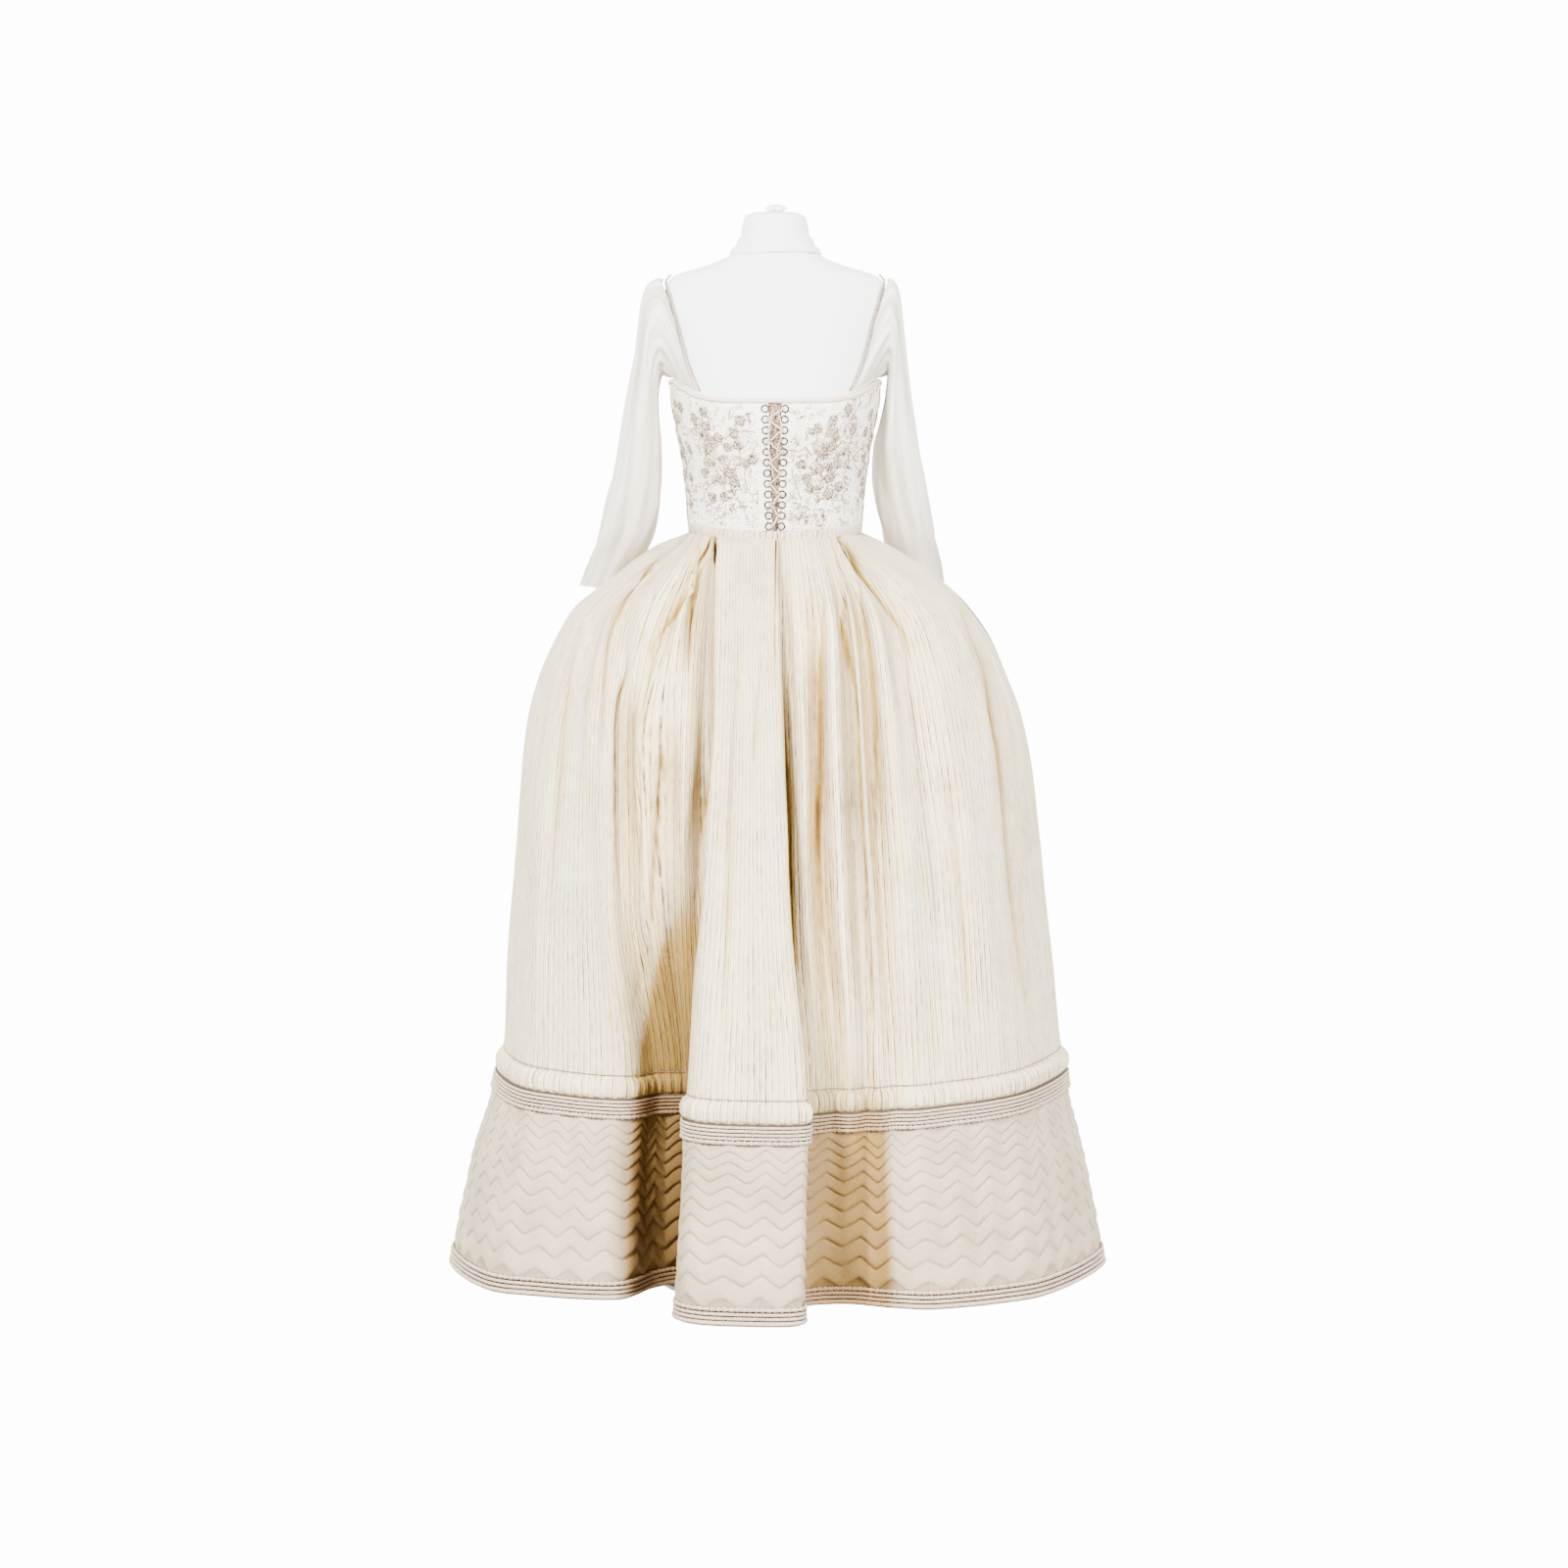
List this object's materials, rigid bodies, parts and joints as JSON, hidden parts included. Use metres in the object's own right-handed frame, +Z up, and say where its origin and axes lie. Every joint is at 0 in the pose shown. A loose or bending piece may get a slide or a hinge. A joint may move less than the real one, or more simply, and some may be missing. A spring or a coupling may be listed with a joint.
{
  "type": "18th-century style dress on dress form",
  "caption": "Long-sleeved dress with laced bodice, wide pleated skirt and chevron-quilted flounce, on a limbless dress form with a round stand.",
  "frame": {"origin": "centre of the stand's flat underside, on the floor", "axes": "+Z up along the stand's pole; -Y is the dress's front; +X is on the right as seen from the front"},
  "size_m": [0.94, 0.7582, 1.5253],
  "materials": {
    "ivory_striped_cotton": "fine ribbed matte cotton",
    "quilted_linen": "padded matte cloth",
    "braid_cord": "twisted cord",
    "embroidered_ivory": "embroidered cloth",
    "sheer_voile": "sheer cloth",
    "pale_binding": "satin tape",
    "ring_metal": "dull pewter-coloured wire",
    "form_cover": "smooth matte jersey cover",
    "stand_metal": "satin metal"
  },
  "bodies": {
    "root": {"bodice_back": "embroidered_ivory", "bodice_binding": "pale_binding", "bodice_front_l": "embroidered_ivory", "bodice_front_r": "embroidered_ivory", "bodice_side_l": "embroidered_ivory", "bodice_side_r": "embroidered_ivory", "flounce_back_l": "quilted_linen", "flounce_back_r": "quilted_linen", "flounce_front_l": "quilted_linen", "flounce_front_r": "quilted_linen", "form_neck_wrap": "form_cover", "form_top_knot": "form_cover", "form_torso": "form_cover", "hem_braid": "braid_cord", "lace": "pale_binding", "lace_tail_l": "pale_binding", "lace_tail_r": "pale_binding", "lacing_panel": "pale_binding", "lacing_ring_l_01": "ring_metal", "lacing_ring_l_02": "ring_metal", "lacing_ring_l_03": "ring_metal", "lacing_ring_l_04": "ring_metal", "lacing_ring_l_05": "ring_metal", "lacing_ring_l_06": "ring_metal", "lacing_ring_l_07": "ring_metal", "lacing_ring_l_08": "ring_metal", "lacing_ring_l_09": "ring_metal", "lacing_ring_l_10": "ring_metal", "lacing_ring_l_11": "ring_metal", "lacing_ring_l_12": "ring_metal", "lacing_ring_r_01": "ring_metal", "lacing_ring_r_02": "ring_metal", "lacing_ring_r_03": "ring_metal", "lacing_ring_r_04": "ring_metal", "lacing_ring_r_05": "ring_metal", "lacing_ring_r_06": "ring_metal", "lacing_ring_r_07": "ring_metal", "lacing_ring_r_08": "ring_metal", "lacing_ring_r_09": "ring_metal", "lacing_ring_r_10": "ring_metal", "lacing_ring_r_11": "ring_metal", "lacing_ring_r_12": "ring_metal", "neckline_cord_l": "pale_binding", "neckline_cord_r": "pale_binding", "seam_braid": "braid_cord", "skirt_back_l": "ivory_striped_cotton", "skirt_back_r": "ivory_striped_cotton", "skirt_front_l": "ivory_striped_cotton", "skirt_front_r": "ivory_striped_cotton", "sleeve_l": "sheer_voile", "sleeve_r": "sheer_voile", "stand_base": "stand_metal", "stand_pole": "stand_metal", "waistband": "ivory_striped_cotton"}
  },
  "joints": []
}
